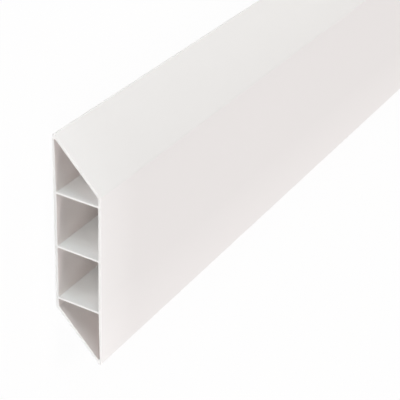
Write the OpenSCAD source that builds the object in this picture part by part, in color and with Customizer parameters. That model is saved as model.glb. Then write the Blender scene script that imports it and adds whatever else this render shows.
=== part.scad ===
// Fence slat: one length of hollow white plastic extrusion with a parallelogram section.
// It lies on its back face. X runs along the slat, Y across it, and Z through its thickness.
// The origin is the middle of the footprint, on the surface that the slat lies on.

/* [Slat] */
// Length that the slat is sawn to
slat_length = 1800; // [300:50:6000]
// Width from one acute edge to the other, with both edges sharp
slat_width = 125; // [100:1:220]
// Distance between the two broad faces
slat_thickness = 27; // [18:0.5:36]
// Angle between a bevel and the broad faces
bevel_angle = 45; // [40:1:65]

/* [Walls] */
// Thickness of the broad walls
face_wall = 1.6; // [1.2:0.1:3]
// Thickness of a broad wall where it runs out into the acute edge
edge_wall = 0.9; // [0.6:0.1:1.2]
// Thickness of the bevel walls, square to the bevel
bevel_wall = 1.6; // [1.2:0.1:3]

/* [Webs] */
// Distance from the middle of one web to the next
web_pitch = 30; // [12:0.5:32]
// Thickness of a web
web_wall = 1; // [0.6:0.1:2]

/* [Corners] */
// Outside radius of the two acute edges
acute_radius = 1; // [0.3:0.1:1.2]
// Outside radius of the two obtuse edges
obtuse_radius = 1.6; // [0.5:0.1:3]
// Radius of every corner inside the cells
cell_radius = 0.5; // [0.2:0.1:0.8]

/* [Hidden] */
$fn = 48;

half_width = slat_width / 2;
// How far a bevel runs across the slat
bevel_run = slat_thickness / tan(bevel_angle);
// Where the inner surface of a bevel wall would meet the back face
bevel_inner_reach = half_width - bevel_wall / sin(bevel_angle);
// Inner surface of the front wall, and where the bevel wall's inner surface meets it
ceiling = slat_thickness - face_wall;
ceiling_reach = bevel_inner_reach - ceiling / tan(bevel_angle);

// The webs stand between the two broad walls, and as many as fit there are centred on the slat.
farthest_web = ceiling_reach - 2 * cell_radius - web_wall / 2;
web_count = 1 + floor(2 * farthest_web / web_pitch);
last_web = web_pitch * (web_count - 1) / 2;

// Sharp corners of the outside, anticlockwise from the acute edge that the back face ends in.
outline_corners = [
    [half_width, 0],
    [half_width - bevel_run, slat_thickness],
    [-half_width, slat_thickness],
    [bevel_run - half_width, 0],
];
outline_radii = [acute_radius, obtuse_radius, acute_radius, obtuse_radius];

// The cell beside an acute edge. Its back wall thins from the last web out to that edge.
edge_cell_start = last_web + web_wall / 2;
thinning = (face_wall - edge_wall) / (half_width - edge_cell_start);
edge_cell_tip = (face_wall - thinning * (bevel_inner_reach - edge_cell_start))
    / (1 - thinning / tan(bevel_angle));
edge_cell_corners = [
    [edge_cell_start, face_wall],
    [bevel_inner_reach - edge_cell_tip / tan(bevel_angle), edge_cell_tip],
    [ceiling_reach, ceiling],
    [edge_cell_start, ceiling],
];

function towards(from, to) = (to - from) / norm(to - from);

function half_corner_angle(before, corner, after) =
    acos(towards(corner, before) * towards(corner, after)) / 2;

// How far from a corner its rounding starts
function setback(before, corner, after, radius) =
    radius / tan(half_corner_angle(before, corner, after));

function rounding_centre(before, corner, after, radius) =
    corner + towards([0, 0], towards(corner, before) + towards(corner, after))
        * radius / sin(half_corner_angle(before, corner, after));

// A polygon whose corners are true arcs, each with its own radius
module rounded_polygon(corners, radii) {
    last = len(corners) - 1;
    before = function(i) corners[i == 0 ? last : i - 1];
    after = function(i) corners[i == last ? 0 : i + 1];
    polygon([
        for (i = [0 : last])
            let (back = setback(before(i), corners[i], after(i), radii[i]))
            each [
                corners[i] + towards(corners[i], before(i)) * back,
                corners[i] + towards(corners[i], after(i)) * back,
            ]
    ]);
    for (i = [0 : last])
        translate(rounding_centre(before(i), corners[i], after(i), radii[i])) circle(radii[i]);
}

module cell(corners) {
    rounded_polygon(corners, [for (corner = corners) cell_radius]);
}

module edge_cells() {
    cell(edge_cell_corners);
    translate([0, slat_thickness]) rotate(180) cell(edge_cell_corners);
}

// The cells between neighbouring webs
module middle_cells() {
    half_cell = (web_pitch - web_wall) / 2;
    if (web_count > 1)
        for (gap = [1 : web_count - 1])
            translate([-last_web + (gap - 0.5) * web_pitch, 0])
                cell([
                    [-half_cell, face_wall],
                    [half_cell, face_wall],
                    [half_cell, ceiling],
                    [-half_cell, ceiling],
                ]);
}

module section() {
    difference() {
        rounded_polygon(outline_corners, outline_radii);
        edge_cells();
        middle_cells();
    }
}

// The extrusion, with its section turned so that it runs along X
module slat() {
    color([0.93, 0.93, 0.92])
        translate([-slat_length / 2, 0, 0])
            rotate([90, 0, 90]) linear_extrude(slat_length) section();
}

slat();
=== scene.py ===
"""The looks of a hollow white plastic fence slat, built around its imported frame."""

import math

import bpy
from bpy.props import FloatProperty, FloatVectorProperty, IntProperty, PointerProperty
from mathutils import Matrix, Quaternion, Vector, noise
from mathutils.geometry import tessellate_polygon


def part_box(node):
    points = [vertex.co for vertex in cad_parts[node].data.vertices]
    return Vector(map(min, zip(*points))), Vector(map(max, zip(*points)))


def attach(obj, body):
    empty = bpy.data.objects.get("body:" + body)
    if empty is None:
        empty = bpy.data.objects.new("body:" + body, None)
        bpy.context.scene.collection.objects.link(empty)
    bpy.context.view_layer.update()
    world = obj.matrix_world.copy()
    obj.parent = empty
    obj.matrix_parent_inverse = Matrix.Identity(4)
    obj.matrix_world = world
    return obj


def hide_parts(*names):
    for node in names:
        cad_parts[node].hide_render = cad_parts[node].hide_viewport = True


bl_info = {
    "name": "Hollow Fence Slat",
    "version": (1, 0, 0),
    "blender": (4, 5, 0),
    "location": "3D View > Sidebar > Fence Slat",
    "description": "Builds an extruded fence slat with sawn ends, and a plain studio round it",
    "category": "Add Mesh",
}

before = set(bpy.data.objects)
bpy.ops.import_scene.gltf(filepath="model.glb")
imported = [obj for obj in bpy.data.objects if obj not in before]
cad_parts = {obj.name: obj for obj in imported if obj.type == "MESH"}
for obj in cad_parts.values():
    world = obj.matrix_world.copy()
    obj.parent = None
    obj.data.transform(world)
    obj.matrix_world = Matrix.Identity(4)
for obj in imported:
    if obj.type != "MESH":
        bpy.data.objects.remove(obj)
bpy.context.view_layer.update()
SLAT_LOW, SLAT_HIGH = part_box("slat")

MM = 0.001
PLASTIC_IOR = 1.53
BEVEL_ANGLE = math.radians(45)
ACUTE_RADIUS = 1 * MM
# How far an acute edge would stand out past its rounding if it were sharp
ROUNDED_OFF = ACUTE_RADIUS * (1 / math.tan(BEVEL_ANGLE / 2) - 1)


def size_property(name, description, default):
    """A length in metres."""
    return FloatProperty(
        name=name, description=description, default=default, min=0, precision=5, unit="LENGTH"
    )


def share_property(name, description, default):
    """A plain number from 0 to 1."""
    return FloatProperty(name=name, description=description, default=default, min=0, max=1)


def power_property(name, description, default):
    """The power of a lamp in watts."""
    return FloatProperty(name=name, description=description, default=default, min=0, unit="POWER")


def colour_property(name, description, default):
    """A linear colour."""
    return FloatVectorProperty(
        name=name, description=description, default=default, subtype="COLOR", min=0, max=1
    )


def place_property(name, description, default):
    """A point in the slat's frame, in metres."""
    return FloatVectorProperty(
        name=name, description=description, default=default, subtype="TRANSLATION", unit="LENGTH"
    )


class SlatSection(bpy.types.PropertyGroup):
    """The section that the die gives the slat."""

    thickness: size_property(
        "Thickness", "Distance between the broad faces", SLAT_HIGH.z - SLAT_LOW.z
    )
    width: size_property(
        "Width",
        "Width from one acute edge to the other, as if both were sharp",
        SLAT_HIGH.y - SLAT_LOW.y + 2 * ROUNDED_OFF,
    )
    bevel_angle: FloatProperty(
        name="Bevel angle",
        description="Angle between a bevel and the broad faces",
        default=BEVEL_ANGLE,
        subtype="ANGLE",
    )
    face_wall: size_property("Face wall", "Thickness of the broad walls", 1.6 * MM)
    edge_wall: size_property("Edge wall", "Thickness of a broad wall at its acute edge", 0.9 * MM)
    bevel_wall: size_property("Bevel wall", "Thickness of the bevel walls", 1.6 * MM)
    web_pitch: size_property("Web pitch", "Distance from one web to the next", 30 * MM)
    web_wall: size_property("Web wall", "Thickness of a web", 1.0 * MM)
    web_count: IntProperty(name="Webs", description="Number of webs", default=3, min=1)
    acute_radius: size_property("Acute radius", "Outside radius of the acute edges", ACUTE_RADIUS)
    obtuse_radius: size_property("Obtuse radius", "Outside radius of the obtuse edges", 1.6 * MM)
    cell_radius: size_property("Cell radius", "Radius of the corners inside the cells", 0.5 * MM)


class SlatRelief(bpy.types.PropertyGroup):
    """What cooling and sawing leave on the slat."""

    sink_depth: size_property("Sink depth", "Depth of the hollow over each web", 0.02 * MM)
    sink_width: size_property("Sink width", "Half width of the hollow over each web", 1.6 * MM)
    edge_break: size_property("Edge break", "Width of the broken edge round a sawn end", 0.14 * MM)
    raggedness: share_property("Raggedness", "How much the broken edge varies", 0.45)


class SlatFinish(bpy.types.PropertyGroup):
    """The colours of the plastic. The different whites of the walls, webs and bevel walls inside the
    cells are painted light and shade.
    """

    white: colour_property("White", "The outside, as it leaves the die", (0.793, 0.797, 0.785))
    # Inside the cells, each kind of wall has a white of its own: painted light and shade, not the
    # plastic's own colour.
    wall_white_painted_light: colour_property("Wall white", "Broad walls inside", (0.965, 0.9, 0.875))
    # Painted shade: towards the sawn ends the walls inside the cells are made darker, over each reach.
    wall_painted_shade: share_property("Wall painted shade", "Painted shade at a sawn end, as a share of the wall white", 0.89)
    wall_painted_shade_reach: size_property("Wall reach", "How far in the wall white is whole again", 35 * MM)
    web_white_painted_light: colour_property("Web white", "Webs", (0.945, 0.96, 0.95))
    web_painted_shade: share_property("Web painted shade", "Painted shade at a sawn end, as a share of the web white", 0.84)
    web_painted_shade_reach: size_property("Web reach", "How far in the web white is whole again", 9 * MM)
    bevel_white_painted_shade: colour_property("Bevel white", "Bevel walls inside", (0.93, 0.87, 0.845))
    bevel_painted_shade: share_property("Bevel painted shade", "Painted shade at a sawn end, as a share of the bevel white", 0.76)
    bevel_painted_shade_reach: size_property("Bevel reach", "How far in the bevel white is whole again", 35 * MM)
    sawn_white: colour_property("Sawn white", "The plastic where it was sawn", (0.955, 0.95, 0.94))


class SlatStudio(bpy.types.PropertyGroup):
    """The camera and the lamps."""

    camera_place: place_property("Camera", "Where the camera stands", (-1.3125, 0.3329, 0.3092))
    camera_aim: place_property("Aim", "What the camera looks at", (-0.80684, -0.01133, 0.027))
    camera_roll: FloatProperty(
        name="Roll",
        description="How far the camera is turned about its line of sight",
        default=math.radians(108.45),
        subtype="ANGLE",
    )
    lens: FloatProperty(name="Lens", description="Focal length in millimetres", default=113.84)
    daylight: share_property("Daylight", "Strength of the light from all round", 0.05)
    front: power_property("Front lamp", "Power of the lamp that favours the front face", 41.3)
    high: power_property("High lamp", "Power of the high lamp over the front bevel", 26.9)
    side: power_property("Side lamp", "Power of the lamp that favours the front bevel", 20.2)
    far: power_property("Far lamp", "Power of the lamp towards the far end", 8.1)
    end_left: power_property("Left end lamp", "Power of a low lamp into the near end", 16.4)
    end_right: power_property("Right end lamp", "Power of a low lamp into the near end", 9.9)


class Value:
    """A node's output. Arithmetic on it adds Math nodes."""

    def __init__(self, graph, output):
        self.graph = graph
        self.output = output

    def __add__(self, other):
        return self.graph.math("ADD", self, other)

    def __sub__(self, other):
        return self.graph.math("SUBTRACT", self, other)

    def __rsub__(self, other):
        return self.graph.math("SUBTRACT", other, self)

    def __mul__(self, other):
        return self.graph.math("MULTIPLY", self, other)

    __radd__ = __add__
    __rmul__ = __mul__


class Graph:
    """The nodes of one material or world."""

    def __init__(self, owner):
        owner.use_nodes = True
        self.tree = owner.node_tree
        self.tree.nodes.clear()

    def node(self, kind, settings=None, sockets=None, output=0):
        """Adds a node, applies its settings, fills its sockets and returns one of its outputs."""
        added = self.tree.nodes.new(kind)
        for name, value in (settings or {}).items():
            setattr(added, name, value)
        for name, value in (sockets or {}).items():
            if isinstance(value, Value):
                self.tree.links.new(value.output, added.inputs[name])
            else:
                added.inputs[name].default_value = value
        return Value(self, added.outputs[output]) if added.outputs else None

    def math(self, operation, *operands):
        """One Math node, on values and numbers."""
        return self.node("ShaderNodeMath", {"operation": operation}, dict(enumerate(operands)))

    def position(self):
        """The point on the surface, in metres, in the slat's frame."""
        return self.node("ShaderNodeTexCoord", output="Object")

    def stretched(self, factors):
        """The point on the surface with each of its coordinates multiplied."""
        return self.node(
            "ShaderNodeVectorMath",
            {"operation": "MULTIPLY"},
            {0: self.position(), 1: factors},
        )

    def distance_from(self, line):
        """How far the surface is from a line along X, in metres, given the line's Y and Z."""
        return self.node(
            "ShaderNodeVectorMath",
            {"operation": "DISTANCE"},
            {0: self.stretched((0.0, 1.0, 1.0)), 1: (0.0, *line)},
            output="Value",
        )

    def noise(self, repeats, detail=2.0, roughness=0.5):
        """Noise with about that many repeats a metre along X, Y and Z."""
        return self.node(
            "ShaderNodeTexNoise",
            {"noise_dimensions": "3D"},
            {
                "Vector": self.stretched(repeats),
                "Scale": 1.0,
                "Detail": detail,
                "Roughness": roughness,
            },
        )

    def between(self, low, high, factor):
        """A colour between two others."""
        return self.node(
            "ShaderNodeMix",
            {"data_type": "RGBA"},
            {"Factor": factor, "A": (*low, 1.0), "B": (*high, 1.0)},
            output="Result",
        )

    def plastic(self, tint, roughness, height, relief):
        """Ends the graph in rigid plastic, with a height from 0 to 1 that stands for relief metres."""
        normal = self.node(
            "ShaderNodeBump", sockets={"Height": height, "Distance": relief, "Strength": 1.0}
        )
        shader = self.node(
            "ShaderNodeBsdfPrincipled",
            sockets={
                "Base Color": tint,
                "Roughness": roughness,
                "IOR": PLASTIC_IOR,
                "Normal": normal,
            },
        )
        self.node("ShaderNodeOutputMaterial", sockets={"Surface": shader})


def shade(tint, factor):
    """A colour made lighter or darker."""
    return tuple(min(1.0, channel * factor) for channel in tint)


def nearness(graph, section):
    """From 0 to 1, how close the skin is to an acute edge, towards which the skin gets painted light.
    """
    half_width = section.width / 2
    reach = section.thickness / math.sin(section.bevel_angle)
    back_edge = graph.distance_from((half_width, 0.0))
    front_edge = graph.distance_from((-half_width, section.thickness))
    return graph.math("MAXIMUM", 1 - graph.math("MINIMUM", back_edge, front_edge) * (1 / reach), 0.0)


def skin_material(settings):
    """The outside: matt, with painted light that makes it paler towards the acute edges, and faint
    lines that the die drew.
    """
    white = settings.slat_finish.white
    dullest = shade(white, 0.993)
    # The palest colour serves the clouding and die lines, and also the painted light at the acute
    # edges.
    palest_and_painted_light = shade(white, 1.067)
    cloud_share = 0.13
    line_share = 0.06
    painted_light_share = 1 - cloud_share - line_share
    material = bpy.data.materials.new("white_pvc_skin")
    graph = Graph(material)
    die_lines = graph.noise((1.2, 900.0, 900.0), detail=3.0, roughness=0.6)
    haul_marks = graph.noise((90.0, 14.0, 14.0))
    cloud = graph.noise((5.0, 22.0, 22.0), detail=3.0)
    grain = graph.noise((520.0, 520.0, 520.0), detail=1.0)
    mottle = cloud * cloud_share + die_lines * line_share
    # Painted light: the skin's colour is made paler towards the acute edges.
    painted_edge_light = nearness(graph, settings.slat_section) * painted_light_share
    graph.plastic(
        tint=graph.between(dullest, palest_and_painted_light, mottle + painted_edge_light),
        roughness=0.5 + die_lines * 0.07 + haul_marks * 0.05,
        height=die_lines * 0.5 + grain * 0.3 + haul_marks * 0.2,
        relief=0.006 * MM,
    )
    return material


def inside_material(name, white, painted_end_shade, reach):
    """The inside of a cell, streaked by the plastic's flow, with painted shade that makes it duller
    towards a sawn end.
    """
    streaking = 0.1
    material = bpy.data.materials.new(name)
    graph = Graph(material)
    flow_lines = graph.noise((3.0, 420.0, 420.0), detail=3.0, roughness=0.6)
    ripple = graph.noise((70.0, 60.0, 60.0))
    along = graph.node("ShaderNodeSeparateXYZ", sockets={"Vector": graph.position()})
    depth = (SLAT_HIGH.x - graph.math("ABSOLUTE", along)) * (1 / reach)
    # Painted shade: the colour is darkest at a sawn end and comes back to the full white over the
    # reach.
    out_of_painted_shade = depth + flow_lines * streaking - streaking / 2
    graph.plastic(
        tint=graph.between(shade(white, painted_end_shade), white, out_of_painted_shade),
        roughness=0.42 + ripple * 0.12,
        height=flow_lines * 0.6 + ripple * 0.4,
        relief=0.02 * MM,
    )
    return material


def bore_material(settings):
    """The broad walls inside the cells, whose pinkish white holds painted light."""
    finish = settings.slat_finish
    return inside_material(
        "white_pvc_bore", finish.wall_white_painted_light, finish.wall_painted_shade, finish.wall_painted_shade_reach
    )


def web_material(settings):
    """The webs, with a less pink white than the walls that is painted light."""
    finish = settings.slat_finish
    return inside_material("white_pvc_web", finish.web_white_painted_light, finish.web_painted_shade, finish.web_painted_shade_reach)


def bevel_material(settings):
    """The bevel walls inside the cells, painted the darkest of the inside: painted shade."""
    finish = settings.slat_finish
    return inside_material(
        "white_pvc_bevel", finish.bevel_white_painted_shade, finish.bevel_painted_shade, finish.bevel_painted_shade_reach
    )


def sawn_material(settings):
    """The sawn ends: the most matt of all, with crumbs and the arcs that the blade left."""
    white = settings.slat_finish.sawn_white
    lowest = shade(white, 0.96)
    arc_share = 0.2
    crumb_share = 0.6
    blade_centre = (60 * MM, -180 * MM)
    tooth_pitch = 0.7 * MM
    material = bpy.data.materials.new("white_pvc_sawn")
    graph = Graph(material)
    arcs = graph.math("SINE", graph.distance_from(blade_centre) * (math.tau / tooth_pitch))
    crumb = graph.noise((2500.0, 2500.0, 2500.0), detail=3.0, roughness=0.7)
    height = arcs * arc_share + arc_share + crumb * crumb_share
    graph.plastic(
        tint=graph.between(lowest, white, height),
        roughness=0.62 + crumb * 0.2,
        height=height,
        relief=0.03 * MM,
    )
    return material


class Outline:
    """A closed line in the section, with the plastic on its left. X stands for Y, and Y for Z."""

    ARC_STEP = math.radians(9)
    FEWEST_ARC_STEPS = 5
    # How far from an arc a line has its next point, so that the arc's shading ends there
    ARC_MARGIN = 0.15 * MM

    def __init__(self, corners, radii, spacing):
        self.points = []
        count = len(corners)
        roundings = [
            self.rounding(corners[i - 1], corners[i], corners[(i + 1) % count], radii[i])
            for i in range(count)
        ]
        for i, (centre, start, end) in enumerate(roundings):
            self.add_arc(centre, start, end)
            self.add_line(end, roundings[(i + 1) % count][1], spacing)

    def rounding(self, before, corner, after, radius):
        """The centre and the two ends of the arc that rounds a corner."""
        back = (before - corner).normalized()
        ahead = (after - corner).normalized()
        half = back.angle(ahead) / 2
        setback = radius / math.tan(half)
        centre = corner + (back + ahead).normalized() * radius / math.sin(half)
        return centre, corner + back * setback, corner + ahead * setback

    def add_arc(self, centre, start, end):
        """Points from the arc's start up to, and without, its end."""
        spoke = start - centre
        turn = math.atan2(spoke.cross(end - centre), spoke.dot(end - centre))
        steps = max(self.FEWEST_ARC_STEPS, math.ceil(abs(turn) / self.ARC_STEP))
        for step in range(steps):
            self.points.append(centre + Matrix.Rotation(turn * step / steps, 2) @ spoke)

    def add_line(self, start, end, spacing):
        """Points spaced evenly, with one more close to each of the arcs that the line joins."""
        run = (end - start).length
        inner = run - 2 * self.ARC_MARGIN
        steps = max(1, round(inner / spacing))
        stops = [0.0] + [self.ARC_MARGIN + inner * step / steps for step in range(steps + 1)]
        self.points += [start.lerp(end, stop / run) for stop in stops]

    def inwards(self):
        """For each point, the direction into the plastic."""
        count = len(self.points)
        directions = []
        for i in range(count):
            along = self.points[(i + 1) % count] - self.points[i - 1]
            directions.append(Vector((-along.y, along.x)).normalized())
        return directions


def turned(point, thickness):
    """A point of the section turned by half a turn about the section's middle."""
    return Vector((-point.x, thickness - point.y))


def outside_outline(section):
    """The outside, anticlockwise from the acute edge that the back face ends in."""
    half = section.width / 2
    run = section.thickness / math.tan(section.bevel_angle)
    corners = [Vector((half, 0)), Vector((half - run, section.thickness))]
    corners += [turned(corner, section.thickness) for corner in corners]
    return Outline(corners, [section.acute_radius, section.obtuse_radius] * 2, spacing=1 * MM)


def cell_outline(section, corners):
    """A cell, clockwise, from its corners given anticlockwise."""
    radii = [section.cell_radius] * len(corners)
    return Outline(list(reversed(corners)), radii, spacing=4 * MM)


def cell_outlines(section):
    """The cells beside the two acute edges, and those between neighbouring webs."""
    last_web = section.web_pitch * (section.web_count - 1) / 2
    start = last_web + section.web_wall / 2
    slope = math.tan(section.bevel_angle)
    reach = section.width / 2 - section.bevel_wall / math.sin(section.bevel_angle)
    ceiling = section.thickness - section.face_wall
    thinning = (section.face_wall - section.edge_wall) / (section.width / 2 - start)
    tip = (section.face_wall - thinning * (reach - start)) / (1 - thinning / slope)
    edge_cell = [
        Vector((start, section.face_wall)),
        Vector((reach - tip / slope, tip)),
        Vector((reach - ceiling / slope, ceiling)),
        Vector((start, ceiling)),
    ]
    outlines = [
        cell_outline(section, edge_cell),
        cell_outline(section, [turned(corner, section.thickness) for corner in edge_cell]),
    ]
    half_cell = (section.web_pitch - section.web_wall) / 2
    for gap in range(1, section.web_count):
        middle = (gap - 0.5) * section.web_pitch - last_web
        outlines.append(
            cell_outline(
                section,
                [
                    Vector((middle - half_cell, section.face_wall)),
                    Vector((middle + half_cell, section.face_wall)),
                    Vector((middle + half_cell, ceiling)),
                    Vector((middle - half_cell, ceiling)),
                ],
            )
        )
    return outlines


SKIN, BORE, WEB, BEVEL, SAWN = range(5)
# In the order of the numbers above
MATERIAL_MAKERS = (skin_material, bore_material, web_material, bevel_material, sawn_material)


class SlatMesh:
    """The slat as one closed mesh, made ring by ring along X."""

    STATION_SPACING = 30 * MM
    # How much the hollows over the webs vary, and over what lengths along X and across
    SINK_SWING = 0.35
    SINK_WAVE_LENGTH = 80 * MM
    SINK_WAVE_WIDTH = 40 * MM
    # Over what length the broken edge varies
    BREAK_WAVE = 1.7 * MM
    # A point lies on a broad face where its direction into the plastic has more of Z than this.
    SQUARE_TO_FACE = 0.999
    ANGLE_TOLERANCE = math.radians(1)

    def __init__(self, section, relief):
        self.section = section
        self.relief = relief
        self.outside = outside_outline(section)
        self.outlines = [self.outside, *cell_outlines(section)]
        self.rings = []
        self.vertices = []
        self.faces = []
        self.materials = []

    def sink(self, x, point):
        """How far a point of a broad face has sunk in, over the webs behind it."""
        pitch = self.section.web_pitch
        last_web = pitch * (self.section.web_count - 1) / 2
        offsets = [point.x + last_web - i * pitch for i in range(self.section.web_count)]
        bell = sum(math.exp(-((offset / self.relief.sink_width) ** 2)) for offset in offsets)
        wave = Vector((x / self.SINK_WAVE_LENGTH, point.x / self.SINK_WAVE_WIDTH, point.y / MM))
        return self.relief.sink_depth * bell * (1 + self.SINK_SWING * noise.noise(wave))

    def breakage(self, x, point):
        """How far the saw broke the edge back at a point."""
        wander = noise.noise(Vector((x, point.x, point.y)) / self.BREAK_WAVE)
        return self.relief.edge_break * (1 - self.relief.raggedness * (0.5 + 0.5 * wander))

    def add_ring(self, x, broken=False):
        """Adds the section's points at x. The ring of a broken edge is drawn into the plastic."""
        self.rings.append(len(self.vertices))
        for outline in self.outlines:
            for point, inwards in zip(outline.points, outline.inwards()):
                place = point.copy()
                if outline is self.outside and abs(inwards.y) > self.SQUARE_TO_FACE:
                    place += inwards * self.sink(x, point)
                if broken:
                    place += inwards * self.breakage(x, point)
                self.vertices.append((x, place.x, place.y))

    def add_sides(self, ring, sawn):
        """Joins a ring to the one before it."""
        low, high = self.rings[ring - 1], self.rings[ring]
        offset = 0
        for outline in self.outlines:
            count = len(outline.points)
            for i in range(count):
                a = offset + i
                b = offset + (i + 1) % count
                self.faces.append((low + a, low + b, high + b, high + a))
                self.materials.append(SAWN if sawn else self.side_material(outline, i))
            offset += count

    def side_material(self, outline, i):
        """What the side between a point of an outline and the next one is made of."""
        if outline is self.outside:
            return SKIN
        along = outline.points[(i + 1) % len(outline.points)] - outline.points[i]
        lean = math.atan2(abs(along.y), abs(along.x))
        if abs(lean - self.section.bevel_angle) < self.ANGLE_TOLERANCE:
            return BEVEL
        return WEB if lean > self.section.bevel_angle else BORE

    def add_end(self, ring, outwards):
        """Closes the plastic between the outline and the cells, facing along X by the given sign."""
        first = start = self.rings[ring]
        loops = []
        for outline in self.outlines:
            end = start + len(outline.points)
            loops.append([Vector(place).yz.to_3d() for place in self.vertices[start:end]])
            start = end
        flat = [corner for loop in loops for corner in loop]
        for triangle in tessellate_polygon(loops):
            a, b, c = (flat[corner] for corner in triangle)
            facing = (b - a).cross(c - a).z * outwards
            order = triangle if facing > 0 else reversed(triangle)
            self.faces.append(tuple(first + corner for corner in order))
            self.materials.append(SAWN)

    def build(self, low, high):
        """The rings, the sides and the two ends, from one sawn end to the other."""
        inner_low = low + self.relief.edge_break
        inner_high = high - self.relief.edge_break
        stations = round((inner_high - inner_low) / self.STATION_SPACING)
        self.add_ring(low, broken=True)
        for station in range(stations + 1):
            self.add_ring(inner_low + (inner_high - inner_low) * station / stations)
        self.add_ring(high, broken=True)
        last = len(self.rings) - 1
        for ring in range(1, last + 1):
            self.add_sides(ring, sawn=ring in (1, last))
        self.add_end(0, outwards=-1)
        self.add_end(last, outwards=1)

    def to_object(self, name):
        """The mesh as a Blender object, smooth everywhere but on the sawn ends."""
        mesh = bpy.data.meshes.new(name)
        mesh.from_pydata(self.vertices, [], self.faces)
        mesh.polygons.foreach_set("material_index", self.materials)
        mesh.polygons.foreach_set("use_smooth", [kind != SAWN for kind in self.materials])
        mesh.update()
        piece = bpy.data.objects.new(name, mesh)
        bpy.context.scene.collection.objects.link(piece)
        return piece


class SLAT_OT_profile(bpy.types.Operator):
    """Build the extruded slat with its sawn ends"""

    bl_idname = "slat.profile"
    bl_label = "Slat"

    def execute(self, context):
        settings = context.scene
        shape = SlatMesh(settings.slat_section, settings.slat_relief)
        shape.build(SLAT_LOW.x, SLAT_HIGH.x)
        piece = shape.to_object("slat_profile")
        for make in MATERIAL_MAKERS:
            piece.data.materials.append(make(settings))
        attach(piece, "root")
        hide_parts("slat")
        return {"FINISHED"}


FLOOR_REACH = 20.0
FLOOR_COLOUR = (0.88, 0.88, 0.88, 1)
# The floor lies this far below the slat, so that no two faces lie in one plane.
FLOOR_GAP = 0.05 * MM
# How much of what the floor shows is plain white. The rest takes the slat's shadow.
FLOOR_WHITENESS = 0.95
LAMP_DISTANCE = 2.5
# Bearings are in degrees from -X towards +Y, and sizes in metres.
LAMPS = {
    "front": {"bearing": -90, "elevation": 38, "size": 1.2, "tint": (1, 0.935, 0.941)},
    "high": {"bearing": 100, "elevation": 60, "size": 1.2, "tint": (1, 0.892, 0.897)},
    "side": {"bearing": 80, "elevation": 22, "size": 1.2, "tint": (0.889, 1, 1)},
    "far": {"bearing": 160, "elevation": 25, "size": 1.2, "tint": (1, 0.952, 0.887)},
    "end_left": {"bearing": 20, "elevation": 6, "size": 0.5, "tint": (1, 0.969, 0.951)},
    "end_right": {"bearing": -20, "elevation": 6, "size": 0.5, "tint": (0.907, 0.994, 1)},
}


def white_for_camera(graph, shader, share):
    """Mixes plain white into a shader, for the camera, reflections and clear things only."""
    seen = sum(
        graph.node("ShaderNodeLightPath", output=f"Is {kind} Ray")
        for kind in ("Camera", "Glossy", "Transmission")
    )
    white = graph.node("ShaderNodeEmission", sockets={"Color": (1, 1, 1, 1), "Strength": 1.0})
    return graph.node(
        "ShaderNodeMixShader",
        sockets={"Fac": graph.math("MINIMUM", seen, 1.0) * share, 1: shader, 2: white},
    )


def make_floor():
    """A wide pale floor that shows nearly white and keeps a soft shadow."""
    mesh = bpy.data.meshes.new("floor")
    corners = [(-1, -1), (1, -1), (1, 1), (-1, 1)]
    mesh.from_pydata([(x * FLOOR_REACH, y * FLOOR_REACH, 0) for x, y in corners], [], [(0, 1, 2, 3)])
    floor = bpy.data.objects.new("floor", mesh)
    floor.location.z = SLAT_LOW.z - FLOOR_GAP
    bpy.context.scene.collection.objects.link(floor)
    material = bpy.data.materials.new("studio_floor")
    graph = Graph(material)
    matt = graph.node("ShaderNodeBsdfDiffuse", sockets={"Color": FLOOR_COLOUR, "Roughness": 0.0})
    surface = white_for_camera(graph, matt, FLOOR_WHITENESS)
    graph.node("ShaderNodeOutputMaterial", sockets={"Surface": surface})
    mesh.materials.append(material)


def make_world(daylight):
    """Even light from all round, which shows as plain white."""
    world = bpy.data.worlds.new("studio_world")
    bpy.context.scene.world = world
    graph = Graph(world)
    sky = graph.node("ShaderNodeBackground", sockets={"Color": (1, 1, 1, 1), "Strength": daylight})
    graph.node("ShaderNodeOutputWorld", sockets={"Surface": white_for_camera(graph, sky, 1.0)})


def make_lamp(name, watts, tint, size, bearing, elevation):
    """A square softbox that the camera doesn't see, aimed at the near end from its bearing."""
    light = bpy.data.lights.new(name, "AREA")
    light.energy = watts
    light.color = tint
    light.size = size
    lamp = bpy.data.objects.new(name, light)
    near_end = Vector((SLAT_LOW.x, 0, (SLAT_LOW.z + SLAT_HIGH.z) / 2))
    bearing = math.radians(bearing)
    elevation = math.radians(elevation)
    level = math.cos(elevation)
    away = Vector((-math.cos(bearing) * level, math.sin(bearing) * level, math.sin(elevation)))
    lamp.location = near_end + away * LAMP_DISTANCE
    lamp.rotation_mode = "QUATERNION"
    lamp.rotation_quaternion = away.to_track_quat("Z", "Y")
    lamp.visible_camera = False
    bpy.context.scene.collection.objects.link(lamp)


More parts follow.
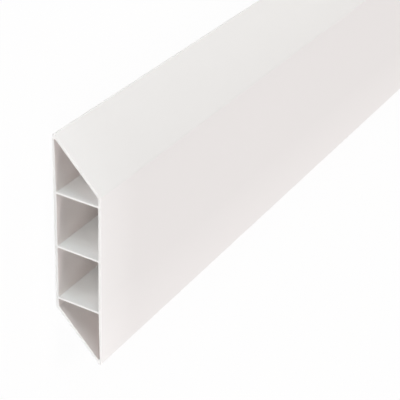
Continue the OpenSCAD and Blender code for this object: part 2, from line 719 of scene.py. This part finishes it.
def make_camera(studio):
    """The camera, turned about its line of sight by the roll."""
    camera = bpy.data.objects.new("camera", bpy.data.cameras.new("camera"))
    camera.data.sensor_width = 36
    camera.data.lens = studio.lens
    camera.location = studio.camera_place
    sight = Vector(studio.camera_aim) - Vector(studio.camera_place)
    roll = Quaternion((0, 0, 1), studio.camera_roll)
    camera.rotation_mode = "QUATERNION"
    camera.rotation_quaternion = sight.to_track_quat("-Z", "Y") @ roll
    bpy.context.scene.collection.objects.link(camera)
    bpy.context.scene.camera = camera


class SLAT_OT_studio(bpy.types.Operator):
    """Build the floor, the lamps and the camera"""

    bl_idname = "slat.studio"
    bl_label = "Studio"

    def execute(self, context):
        studio = context.scene.slat_studio
        context.scene.view_settings.view_transform = "Standard"
        make_floor()
        make_world(studio.daylight)
        for name, lamp in LAMPS.items():
            make_lamp(name, watts=getattr(studio, name), **lamp)
        make_camera(studio)
        return {"FINISHED"}


class SLAT_PT_sidebar(bpy.types.Panel):
    """The slat's sizes and the buttons that build it"""

    bl_idname = "SLAT_PT_sidebar"
    bl_label = "Fence Slat"
    bl_space_type = "VIEW_3D"
    bl_region_type = "UI"
    bl_category = "Fence Slat"

    def draw(self, context):
        for group in GROUPS:
            settings = getattr(context.scene, group)
            box = self.layout.box()
            for name in settings.__annotations__:
                box.prop(settings, name)
        for operator in OPERATORS:
            self.layout.operator(operator.bl_idname)


GROUPS = {
    "slat_section": SlatSection,
    "slat_relief": SlatRelief,
    "slat_finish": SlatFinish,
    "slat_studio": SlatStudio,
}
OPERATORS = (SLAT_OT_profile, SLAT_OT_studio)
CLASSES = (*GROUPS.values(), *OPERATORS, SLAT_PT_sidebar)


def register():
    for cls in CLASSES:
        bpy.utils.register_class(cls)
    for name, group in GROUPS.items():
        setattr(bpy.types.Scene, name, PointerProperty(type=group))


def unregister():
    for name in GROUPS:
        delattr(bpy.types.Scene, name)
    for cls in reversed(CLASSES):
        bpy.utils.unregister_class(cls)


def main():
    register()
    bpy.ops.slat.profile()
    bpy.ops.slat.studio()


if __name__ == "__main__":
    main()
